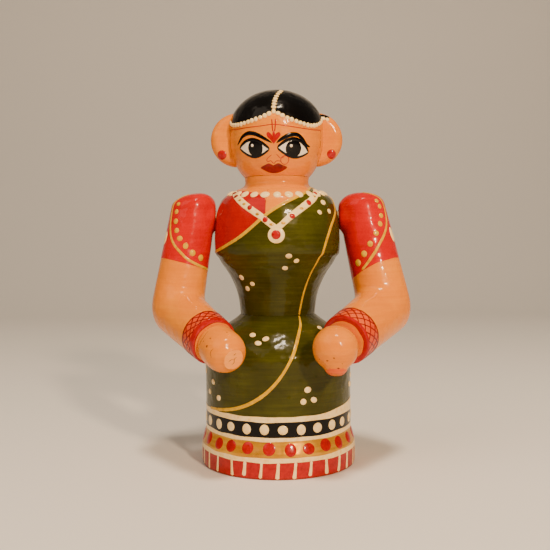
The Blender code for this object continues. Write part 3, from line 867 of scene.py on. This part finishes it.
faceMarks = {
    # places are (angle, height) on the head
    "eyeRight": {"corners": [(-51, 123.3), (-9, 122.2)], "top": 126.0, "bottom": 119.6,
                 "pupil": (-27, 122.7), "pupilSize": (3.25, 3.5), "glint": (-30.5, 123.8)},
    "eyeLeft": {"corners": [(0.5, 122.6), (43, 121.4)], "top": 126.0, "bottom": 119.3,
                "pupil": (20.8, 122.3), "pupilSize": (3.3, 3.55), "glint": (17.4, 123.4)},
    "browRight": [(-55, 124.6), (-50, 126.0), (-43.5, 127.7), (-34.5, 128.5), (-25, 127.9),
                  (-14.5, 126.1), (-5.5, 124.4)],
    "browLeft": [(-0.5, 124.4), (6.5, 126.0), (15.5, 127.4), (24.5, 127.6), (32, 126.1),
                 (37.5, 124.2), (44.5, 123.4)],
    "nose": [[(-6.5, 120.1), (-12, 118.9), (-13.5, 118.1), (-11.5, 117.7), (-8, 118.0),
              (-6, 117.3), (-3.6, 117.0), (-1.5, 117.7), (1.5, 117.9), (6.5, 117.7)],
             [(-0.8, 120.3), (2.6, 119.4), (5, 118.9), (9.5, 119.4)]],
    "ring": ((10.5, 118.2), 1.55),
    "foreheadLine": [(-74, 131.2), (-56, 130.7), (-39, 130.7), (-18, 130.9), (-4, 131.3), (11, 130.8),
                     (30, 130.2), (50, 130.1), (70, 130.8)],
    "upright": [[(-5.6, 133.4), (-5.2, 131), (-4.7, 128.6)], [(-1.2, 133.4), (-1.6, 131), (-2.4, 128.6)]],
    "heart": [(-3.6, 124.2), (-7.0, 125.4), (-11.0, 126.8), (-11.8, 127.9), (-9.8, 128.5), (-6.4, 127.7),
              (-3.8, 126.7), (-1.0, 127.8), (2.6, 128.4), (4.4, 127.6), (3.2, 126.6), (-0.4, 125.3)],
    "lips": [(-24, 115.6), (-17, 116.5), (-11.5, 117.0), (-8, 116.7), (-5, 116.3), (-2, 116.7),
             (2.5, 117.0), (8, 116.4), (15, 115.6), (8, 114.3), (1, 113.75), (-5, 113.6),
             (-11, 113.8), (-18, 114.5)],
    "parting": [(-3.6, 137.9), (-3.2, 139.2), (-2.6, 140.4), (-1.6, 141.5), (0, 142.6), (2.5, 143.6),
                (6, 144.5), (11, 145.3)],
}


def almond(eye, grow=0.0, points=14):
    # the outline of an eye: two arcs that meet at its corners
    (a, low), (b, high) = eye["corners"]
    a, b = a - grow * 2.2, b + grow * 2.2
    top, bottom = eye["top"] + grow, eye["bottom"] - grow
    upper, under = [], []
    for i in range(points + 1):
        t = i / points
        base = low + (high - low) * t
        swell = math.sin(math.pi * t) ** 0.9
        upper.append((a + (b - a) * t, base + (top - (low + high) / 2) * swell))
        under.append((a + (b - a) * t, base - ((low + high) / 2 - bottom) * swell))
    return upper, under


def paintFace():
    black = Coat("face_lines_black", "black", "head")
    white = Coat("eye_whites", "white", "head")
    for name in ("eyeRight", "eyeLeft"):
        eye = faceMarks[name]
        upper, under = almond(eye)
        patch(white, head, upper + under[-2:0:-1], lift=0.05, step=0.7)
        angle, height = eye["pupil"]
        wide, tall = eye["pupilSize"]
        dab(black, head, angle, height, wide, rise=0.16, tall=tall / wide, shaky=0.01, sides=36)
        stroke(black, head, upper, 1.3, rise=0.12, widths=[0.7, 1.0, 1.1, 1.0, 0.7], lift=0.04)
        stroke(black, head, under, 1.1, rise=0.1, widths=[0.7, 0.9, 1.1, 0.9, 0.7], lift=0.04)
        dab(white, head, *eye["glint"], 0.6, rise=0.34, shaky=0.02)
    for name, widths in (
        ("browRight", [0.3, 0.8, 1.1, 1.15, 1.0, 0.8, 0.3]),
        ("browLeft", [0.4, 1.0, 1.15, 1.1, 0.95, 0.8, 0.4]),
    ):
        stroke(black, head, faceMarks[name], 1.5, rise=0.12, widths=widths, lift=0.03)
    black.make()
    white.make()
    red = Coat("face_marks_red", "red", "head")
    heart = smoothRun([(a * 0.33, h) for a, h in faceMarks["heart"]], 0.25, closed=True)
    patch(red, head, [(p.x / 0.33, p.y) for p in heart], lift=0.07, step=0.5)
    stroke(red, head, [(-3.6, 129.0), (-3.5, 127.6), (-3.3, 126.4)], 1.0, rise=0.16, widths=[0.5, 1.2, 0.8])
    for path in faceMarks["upright"]:
        stroke(red, head, path, 0.5, rise=0.1)
    stroke(red, head, faceMarks["foreheadLine"], 0.36, rise=0.08, taper=0.4)
    red.make()
    lines = Coat("nose_lines_red", "line", "head")
    for path in faceMarks["nose"]:
        stroke(lines, head, path, 0.3, rise=0.07, taper=0.5)
    (angle, height), size = faceMarks["ring"]
    perDegree = head.radiusAt(height) * math.pi / 180
    around = [
        (angle + size / perDegree * math.cos(t), height + size * math.sin(t))
        for t in (math.tau * i / 20 for i in range(21))
    ]
    stroke(lines, head, around, 0.32, rise=0.08, taper=0)
    lines.make()
    lips = Coat("lips_painted", "maroon", "head")
    mouth = smoothRun([(a * 0.3, h) for a, h in faceMarks["lips"]], 0.3, closed=True)
    patch(lips, head, [(p.x / 0.3, p.y) for p in mouth], lift=0.1, step=0.6)
    lips.make()


def paintHair():
    hair = Coat("hair_painted", "hair", "head")
    edge = level(hairLine)
    zone(hair, head, edge, neckSeam + headSizes["height"], lift=0.12, step=1.0, count=360)
    hair.make()
    pearls = Coat("hair_pearls", "cream", "head")
    angle = -84.0
    while angle < 84:
        height = edge(angle)
        size = 0.78 + 0.12 * math.cos(math.radians(angle))
        dab(pearls, head, angle, height - 0.25, size, rise=0.5, shaky=0.14)
        angle += 5.4 + hand.uniform(-0.3, 0.3)
    for i, (angle, height) in enumerate(faceMarks["parting"]):
        dab(pearls, head, angle, height, 1.05 - 0.03 * i, rise=0.6, tall=0.7, lean=-12)
    pearls.make()


earCracks = {
    # the glue line beside each ear has opened here and there, as (angle, height) places
    "left": [[(66, 130.6), (68.5, 128.8), (67.5, 127.2)], [(66, 126.6), (67.5, 125.0), (66, 123.6)],
             [(62, 121.6), (64, 120.4)]],
    "right": [[(-71, 134.2), (-73, 132.2), (-71.5, 130.2)],
              [(-74, 133.6), (-76, 131.0), (-74.5, 128.8)], [(-70, 132.6), (-69, 131.0)]],
}


def paintEarCracks():
    coat = Coat("ear_cracks", "chip", "head")
    for word in ("left", "right"):
        for path in earCracks[word]:
            stroke(coat, head, path, 0.26, rise=0.06, shaky=0.5, taper=1.5)
    coat.make()


makeHead()
makeEars()
paintHair()
paintFace()
paintEarCracks()
print("head made and painted")


# each arm has a sleeve, a mitred elbow, a bangle and a hand
armSizes = {
    # slant lowers the outer side of the sleeve's top, and press is how far its inner side swells at the peg
    "left": {"side": 1, "sleeve": 9.2, "elbow": 10.6, "wrist": 9.4, "slant": 0.15, "press": 1.0},
    "right": {"side": -1, "sleeve": 8.8, "elbow": 10.2, "wrist": 8.8, "slant": 0.27, "press": 0.75},
    "sleeveTop": 9.9, "dome": 6.6, "domeSquareness": 2.4,
    "elbowRounding": 9.0, "crease": 1.6, "wristEdge": 0.6,
}
pivots = {joint["child"]: Vector(joint["pos_m"]) / mm for joint in frame["joints"]}


def middleOf(node):
    low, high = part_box(node)
    return (low + high) / 2 / mm


class ArmLines:
    # an arm's axes, worked out from its pegs: down to the elbow, then forward to the wrist

    def __init__(self, word):
        own = armSizes[word]
        self.side = own["side"]
        self.sleeve, self.elbowGirth, self.wristGirth = own["sleeve"], own["elbow"], own["wrist"]
        self.slant, self.press = own["slant"], own["press"]
        self.pivot = pivots[f"arm_{word}"]
        shoulder = self.pivot + Vector((self.side * self.sleeve, 0, 0))
        self.elbow = middleOf(f"elbow_dowel_{word}")
        self.wrist = middleOf(f"hand_dowel_{word}")
        self.upper = (self.elbow - shoulder).normalized()
        self.upperLength = (self.elbow - shoulder).length + armSizes["sleeveTop"]
        self.lower = (self.wrist - self.elbow).normalized()
        self.lowerLength = (self.wrist - self.elbow).length
        self.mitre = (self.upper + self.lower).normalized()
        self.across = self.upper.cross(self.lower).normalized()

    def outward(self, angle, axis):
        back = self.across.cross(axis).normalized()
        if back.dot(self.lower - self.upper) > 0:
            back = -back
        return math.cos(angle) * self.across + math.sin(angle) * back

    def corner(self, angle):
        out = self.outward(angle, self.upper)
        return self.elbowGirth * out.dot(self.mitre) / self.upper.dot(self.mitre)

    def girth(self, far):
        dome, square = armSizes["dome"], armSizes["domeSquareness"]
        straightLength = self.upperLength - dome
        share = min(max(far / straightLength, 0), 1)
        straight = self.elbowGirth + (self.sleeve - self.elbowGirth) * share
        intoDome = min(max(far - straightLength, 0) / dome, 1)
        return straight * (1 - intoDome ** square) ** (1 / square)

    def onUpper(self, angle, far):
        place = self.elbow - self.upper * far + self.outward(angle, self.upper) * self.girth(far)
        return self.shaped(place, far)

    def shaped(self, place, far):
        # a place on a plain round sleeve, moved to where the slant and the swelling put it
        axis = self.elbow - self.upper * far
        aside = (place.x - axis.x) * self.side
        intoDome = min(max(far - self.upperLength + armSizes["dome"], 0) / armSizes["dome"], 1)
        fall = self.slant * aside * intoDome
        above = place.z - self.pivot.z
        pad = abs(self.pivot.x) - self.press
        share = min(max((6.8 - math.hypot(place.y, above)) / 3.6, 0), 1)
        share *= share * (3 - 2 * share)
        swell = max(abs(place.x) - pad, 0) * share if aside < 0 else 0.0
        return place + Vector((-swell * self.side, 0, -fall))

    def onLower(self, angle, far):
        share = min(max(far / self.lowerLength, 0), 1)
        girth = self.elbowGirth + (self.wristGirth - self.elbowGirth) * share
        return self.elbow + self.lower * far + self.outward(angle, self.lower) * girth

    def roundElbow(self, angle, share):
        outerSide = (1 + math.sin(angle)) / 2
        carved = armSizes["crease"] + (armSizes["elbowRounding"] - armSizes["crease"]) * outerSide ** 0.7
        far = self.corner(angle)
        start = self.onUpper(angle, far + carved)
        sharp = self.elbow - self.upper * far + self.outward(angle, self.upper) * self.elbowGirth
        end = self.onLower(angle, far + carved)
        return (1 - share) ** 2 * start + 2 * share * (1 - share) * sharp + share ** 2 * end


def axisFrame(origin, up):
    # a frame with Z along a piece's axis and its front turned as near the doll's front as it goes
    backward = (Vector((0, 1, 0)) - up * up.y).normalized()
    across = backward.cross(up).normalized()
    turn = Matrix((across, backward, up)).transposed().to_4x4()
    return Matrix.Translation(origin) @ turn


def makeArm(word):
    arm = ArmLines(word)
    sides = 112
    angles = [math.tau * i / sides for i in range(sides)]
    top = arm.upperLength
    dome = armSizes["dome"]
    rows = []
    for i in range(13, -1, -1):
        far = top - dome * (1 - math.sin(math.pi / 2 * i / 14))
        rows.append([arm.onUpper(a, far) for a in angles])
    for i in range(1, 22):
        rows.append([arm.onUpper(a, (top - dome) * (1 - 0.026 * i)) for a in angles])
    rows += [[arm.roundElbow(a, i / 12) for a in angles] for i in range(13)]
    end = arm.lowerLength
    edge = armSizes["wristEdge"]
    for share in (0.72, 0.86):
        rows.append([arm.onLower(a, end * share) for a in angles])
    for along, inward in ((-edge, 0), (-0.35 * edge, -0.18 * edge), (0, -edge)):
        row = []
        for a in angles:
            p = arm.onLower(a, end + along)
            row.append(p + arm.outward(a, arm.lower) * inward)
        rows.append(row)
    for inner in (0.6, 0.25):
        rows.append([arm.wrist + (p - arm.wrist) * inner for p in rows[-1]])
    coat = Coat(f"arm_{word}_painted", "skin", f"arm_{word}")
    coat.add(*capped(rows, arm.elbow - arm.upper * top, arm.wrist))
    coat.make([f"upper_arm_{word}", f"forearm_{word}"], sharp=50)
    return arm


class Sleeve(Turned):
    # the sleeve's skin, with the slant and the swelling of its top

    def __init__(self, arm, side):
        super().__init__(side, axisFrame(arm.elbow, -arm.upper))
        self.arm = arm

    def onRun(self, angle, run, lift=0.0):
        return self.arm.shaped(super().onRun(angle, run, lift), self.ring(run)[1])


def sleeveSkin(arm):
    top = arm.upperLength
    dome = armSizes["dome"]
    side = [(arm.girth(h), h) for h in (8, 14, 20, 26, 32, 36, top - dome - 1)]
    domeSide = [
        (max(arm.girth(h), 0.02), h)
        for h in (top - dome * (1 - math.sin(math.pi / 2 * i / 12)) for i in range(13))
    ]
    return Sleeve(arm, [side + domeSide])


def forearmSkin(arm):
    # heights here count back from the wrist to the elbow
    length = arm.lowerLength
    widening = arm.elbowGirth - arm.wristGirth
    side = [(arm.wristGirth + widening * h / length, h) for h in (armSizes["wristEdge"], 8, 16)]
    return Turned([side], axisFrame(arm.wrist, -arm.lower))


sleeveMarks = {
    # angles count outwards from the front. Heights are above the elbow.
    "hem": {
        "left": [(-179, 15.6), (-90, 13.6), (-60, 14.6), (-35, 16.0), (0, 17.6), (45, 18.2),
                 (90, 18.2), (140, 17.4)],
        "right": [(-179, 18.2), (-90, 16.8), (-60, 17.2), (-30, 17.6), (0, 18.0), (50, 18.8),
                  (90, 19.2), (140, 18.8)],
    },
    "curve": {
        "left": [(14, 46.3), (36, 45.4), (52, 43.6), (60, 40.8), (61, 37.3), (56, 33.8), (48, 31.1),
                 (34, 28.0), (17, 24.9), (3, 22.2), (-10, 20.0), (-24, 17.9), (-38, 16.2)],
        "right": [(30, 46.0), (48, 44.6), (58, 42.0), (61, 38.6), (58, 34.5), (52, 30.9), (42, 27.4),
                  (29, 24.7), (16, 22.8), (3, 21.2), (-11, 19.6), (-40, 18.1), (-85, 17.3)],
    },
    "dots": 8, "dotInset": 3.1, "dotRadius": 1.2, "dotsEnd": -46,
    "oval": {"left": (66, 27.6, 1.7, 3.2), "right": (70, 27.0, 1.5, 2.8)},
}


def paintSleeve(word, arm):
    skin = sleeveSkin(arm)
    out = arm.side
    body = f"arm_{word}"
    hemAt = level([(a * out, h) for a, h in sleeveMarks["hem"][word]])
    coat = Coat(f"sleeve_{word}_red", "sleeve", body)
    zone(coat, skin, hemAt, arm.upperLength, lift=0.06, step=0.7, count=144)
    coat.make()
    coat = Coat(f"sleeve_{word}_border", "yellow", body)
    stroke(coat, skin, [(a * out, h) for a, h in sleeveMarks["curve"][word]], 1.05, rise=0.16, lift=0.06,
           widths=[0.6, 1, 1, 1, 1.1, 1.2, 1.0])
    perDegree = arm.sleeve * math.pi / 180
    line = smoothRun([(a * perDegree, h) for a, h in sleeveMarks["curve"][word]], 0.2)
    dotted = sum(1 for p in line if p.x > sleeveMarks["dotsEnd"] * perDegree)
    for i in range(sleeveMarks["dots"]):
        k = round((0.17 + 0.81 * i / (sleeveMarks["dots"] - 1)) * (dotted - 2))
        along = (line[k + 1] - line[max(k - 1, 0)]).normalized()
        spot = line[k] + Vector((along.y, -along.x)) * sleeveMarks["dotInset"]
        size = sleeveMarks["dotRadius"] * (0.85 + 0.25 * i / sleeveMarks["dots"])
        dab(coat, skin, spot.x / perDegree * out, spot.y, size, rise=0.3)
    coat.make()
    coat = Coat(f"sleeve_{word}_dabs", "cream", body)
    angle, height, wide, tall = sleeveMarks["oval"][word]
    dab(coat, skin, angle * out, height, wide, rise=0.28, tall=tall / wide, lean=8 * out,
        shaky=0.02, sides=28)
    coat.make()


bangle = {
    # the ring laps over the edge, onto the flat end of the wrist
    "solid": {"left": 0.8, "right": 2.6}, "lap": {"left": 1.9, "right": 0.9},
    "width": 7.6, "crossings": 16, "sweep": 46, "line": 0.5,
}


def paintBangles(word, arm):
    skin = forearmSkin(arm)
    body = f"arm_{word}"
    solid, lap, edge = bangle["solid"][word], bangle["lap"][word], armSizes["wristEdge"]
    # from the flat end of the wrist, over its edge and back along the arm
    side = [(lap, -sink), (lap, 0.06), (edge + 0.2, 0.07), (0.8 * edge, 0.08), (0.1 * edge, -0.22 * edge),
            (-0.1, -edge), (-0.12, -solid), (sink, -solid)]
    rows = []
    for inward, back in side:
        row = []
        for turn in (math.tau * i / 120 for i in range(120)):
            wander = 0.3 * noise.noise(Vector((2 * math.cos(turn), 2 * math.sin(turn), arm.side)))
            radius = arm.wristGirth - inward + (wander if inward == lap else 0)
            row.append(arm.wrist + arm.outward(turn, arm.lower) * radius + arm.lower * back)
        rows.append(row)
    coat = Coat(f"bangle_{word}_ring", "red", body)
    coat.add(*grid(rows))
    coat.make()
    coat = Coat(f"bangle_{word}_wash", "wash", body)
    zone(coat, skin, solid - 0.2, bangle["width"], lift=0.04, step=0.8, count=120, wander=0.2)
    coat.make()
    coat = Coat(f"bangle_{word}_lattice", "maroon", body)
    zone(coat, skin, bangle["width"] - 0.3, bangle["width"] + 0.25,
         lift=0.12, step=0.3, count=120, wander=0.2)
    for i in range(bangle["crossings"]):
        start = 360 * i / bangle["crossings"]
        for turn in (-1, 1):
            a = start + hand.uniform(-1.5, 1.5)
            path = [(a, solid - 0.2), (a + turn * bangle["sweep"] / 2, bangle["width"] / 2 + 0.8),
                    (a + turn * bangle["sweep"], bangle["width"])]
            stroke(coat, skin, path, bangle["line"], rise=0.1, taper=0, shaky=0.15, lift=0.05)
    coat.make()


stubHand = {"girth": 7.7, "length": 14.6, "base": 7.2, "tip": 4.2, "tipLength": 1.2}
fistHand = {"girth": 8.2, "seat": 7.2, "nub": 3.0, "nubLength": 1.7, "blend": 4.6, "lean": 20}
seamGap = 0.12


# knocks have left chips, as (angle, height, size, stretch), and cracks, as runs of places
stubChips = [(8, 7.4, 0.55, 0.7), (-14, 6.6, 0.42, 0.6), (4, 4.2, 0.3, 0.5), (60, 9.6, 0.35, 0.6),
             (-60, 8.2, 0.3, 0.5)]
tipCracks = [[(-1.4, 0.7), (-0.2, 0.2), (1.0, 0.9), (2.2, 0.4)],
             [(-0.2, 0.2), (0.5, -0.9), (1.7, -1.4)], [(-2.3, -0.6), (-1.2, -0.9)]]
stubCracks = [[(20, 2.6), (-4, 3.0), (-26, 2.4)], [(30, 11.0), (14, 10.2), (2, 10.6)]]
fistChips = [(10, 5.0, 0.4, 0.5), (-22, 6.6, 0.35, 0.5), (34, 5.6, 0.45, 0.4), (62, 4.6, 0.3, 0.5),
             (-8, 8.1, 0.5, 0.6)]


def makeStubHand(arm):
    s = stubHand
    tip = axisFrame(arm.wrist, arm.lower)
    bodyEnd = s["length"] - s["tipLength"]
    straight = (s["girth"], 0.55 * bodyEnd)
    shoulder = (s["tip"] + 0.6, bodyEnd)
    side = Turned([
        [(s["base"] - 0.5, seamGap), (s["base"], 0.5), (s["girth"] - 0.1, 0.2 * bodyEnd), straight,
         *between(straight, shoulder, [(0.1, 0.36), (0.32, 0.66), (0.62, 0.88), (1, 1)])],
        [shoulder, (s["tip"] + 0.1, bodyEnd + 0.25), (s["tip"], s["length"] - 0.35)],
        [(s["tip"], s["length"] - 0.35), (s["tip"] - 0.3, s["length"])],
    ], tip)
    coat = Coat("hand_right_turned", "skin", "arm_right")
    revolve(coat, side, seamGap, s["length"], sides=96)
    coat.make(["hand_right"], sharp=35)
    worn = Coat("hand_right_worn_tip", "worn", "arm_right")
    end = s["length"] + 0.01
    flat = Turned([[(0.02, end), (s["tip"] - 0.4, end)]], tip)
    rim = [flat.onRun(360 * i / 40, 3.75 + 0.6 * noise.noise(Vector((i * 0.45, 3, 0)))) for i in range(40)]
    worn.add([flat.onRun(0, 0), *rim], [[0, 1 + i, 1 + (i + 1) % 40] for i in range(40)])
    worn.make()
    chips = Coat("hand_right_chips", "chip", "arm_right")
    chip(chips, side, stubChips)
    for path in stubCracks:
        stroke(chips, side, path, 0.16, rise=0.05, shaky=0.5, taper=1.5)
    for path in tipCracks:
        line = smoothRun(path, 0.3)
        rows = []
        for i, p in enumerate(line):
            half = 0.13 * math.sin(math.pi * (i + 0.5) / len(line))
            rows.append([tip @ Vector((p.x, p.y + aside, end + 0.02)) for aside in (-half, half)])
        chips.add(*grid(rows, closedAcross=False))
    chips.make()


def chip(coat, skin, places):
    for angle, height, size, stretch in places:
        dab(coat, skin, angle, height, size, rise=0.06, tall=stretch, shaky=0.3,
            lean=hand.uniform(-40, 40))


def makeFist(arm):
    s = fistHand
    middle = arm.wrist + arm.lower * s["seat"]
    lean = math.radians(s["lean"])
    nub = Vector((0, -math.sin(lean), -math.cos(lean)))
    widest = math.acos(s["blend"] / s["girth"])  # the ball runs softly into the nub from here
    ball = []
    steps = 24
    for i in range(steps + 1):
        angle = -math.pi / 2 + (math.pi / 2 + widest) * i / steps
        ball.append((max(s["girth"] * math.cos(angle), 0.02), s["girth"] * math.sin(angle)))
    end = s["girth"] + s["nubLength"]
    side = Turned([
        [*ball, (s["nub"] + 0.75, end - 1.75), (s["nub"] + 0.1, end - 1.0), (s["nub"] - 0.8, end - 0.35),
         (s["nub"] - 2.0, end - 0.05), (0.05, end)],
    ], axisFrame(middle, nub))
    coat = Coat("hand_left_turned", "skin", "arm_left")
    revolve(coat, side, -s["girth"], end, sides=96)
    # the side that meets the wrist is flat
    face = arm.wrist + arm.lower * seamGap
    for i, p in enumerate(coat.points):
        behind = (p - face).dot(arm.lower)
        if behind < 0:
            coat.points[i] = p - arm.lower * behind
    coat.make(["hand_left"], sharp=50)
    rubbed = Coat("hand_left_rubbed_nub", "rubbed", "arm_left")
    zone(rubbed, side, s["girth"] - 0.15, end - 0.12, lift=0.04, step=0.4, count=60, wander=0.35)
    rubbed.make()
    chips = Coat("hand_left_chips", "chip", "arm_left")
    chip(chips, side, fistChips)
    chips.make()


for word in ("left", "right"):
    arm = makeArm(word)
    paintSleeve(word, arm)
    paintBangles(word, arm)
    if word == "left":
        makeFist(arm)
    else:
        makeStubHand(arm)
print("arms made and painted")


# the dowels keep their own shape and stay bare
for name, node in frame["nodes"].items():
    if not node.hide_render:
        node.data.materials.clear()
        node.data.materials.append(finishes["wood"])


studio = {
    "eyeDistance": 320, "eyeHeight": 84.2, "eyeAside": -1.0, "tilt": 1.79, "lens": 52.36,
    "roll": -0.38, "floor": "ECE8E2", "sky": 0.2,
    # power, degrees round from the front and up, distance, width and height in metres, and tint
    "lights": {
        "keySoftbox": (7.8, 24, 24, 0.9, 0.07, 0.08, "FFDDB4"),
        "fillSoftbox": (4.2, -50, 42, 1.3, 0.9, 0.9, "FFEAD2"),
        "overSoftbox": (8.5, 12, 70, 1.0, 0.14, 0.14, "FFE8CC"),
    },
}


def makeRoom():
    # a paper sweep: flat under the doll, then bent up behind it
    half, bend, bendFrom = 2.4, 0.5, 0.7
    line = [(-1.2, 0)]
    for turn in (math.pi / 2 * i / 24 for i in range(25)):
        line.append((bendFrom + bend * math.sin(turn), bend * (1 - math.cos(turn))))
    line.append((bendFrom + bend, 2.2))
    points, faces = grid([[(x, y, z) for x in (-half, half)] for y, z in line], closedAcross=False)
    mesh = bpy.data.meshes.new("floor")
    mesh.from_pydata(points, [], faces)
    mesh.shade_smooth()
    floor = bpy.data.objects.new("floor", mesh)
    bpy.context.scene.collection.objects.link(floor)
    paper = newFinish("paperBackdrop", Base_Color=hexColour(studio["floor"]), Roughness=0.75)[0]
    mesh.materials.append(paper)


def softbox(name, power, turn, rise, distance, width, height, tint):
    lamp = bpy.data.lights.new(name, "AREA")
    lamp.shape = "RECTANGLE"
    lamp.size, lamp.size_y = width, height
    lamp.energy = power
    lamp.color = hexColour(tint)[:3]
    box = bpy.data.objects.new(name, lamp)
    a, e = math.radians(turn), math.radians(rise)
    target = Vector((0, 0, 0.08))
    way = Vector((math.sin(a) * math.cos(e), -math.cos(a) * math.cos(e), math.sin(e)))
    box.location = target + way * distance
    box.rotation_mode = "QUATERNION"
    box.rotation_quaternion = way.to_track_quat("Z", "Y")
    bpy.context.scene.collection.objects.link(box)


def makeLight():
    for name, light in studio["lights"].items():
        softbox(name, *light)
    world = bpy.data.worlds.new("room")
    world.use_nodes = True
    sky = world.node_tree.nodes["Background"]
    sky.inputs["Color"].default_value = hexColour("F6EAD8")
    sky.inputs["Strength"].default_value = studio["sky"]
    bpy.context.scene.world = world


def makeCamera():
    lens = bpy.data.cameras.new("camera")
    lens.lens = studio["lens"]
    lens.sensor_width = 36
    lens.clip_start, lens.clip_end = 0.01, 20
    camera = bpy.data.objects.new("camera", lens)
    camera.location = (studio["eyeAside"] * mm, -studio["eyeDistance"] * mm, studio["eyeHeight"] * mm)
    aim = Matrix.Rotation(math.radians(90 - studio["tilt"]), 4, "X")
    camera.rotation_euler = (aim @ Matrix.Rotation(math.radians(studio["roll"]), 4, "Z")).to_euler()
    bpy.context.scene.collection.objects.link(camera)
    bpy.context.scene.camera = camera


makeRoom()
makeLight()
makeCamera()
print("room lit")
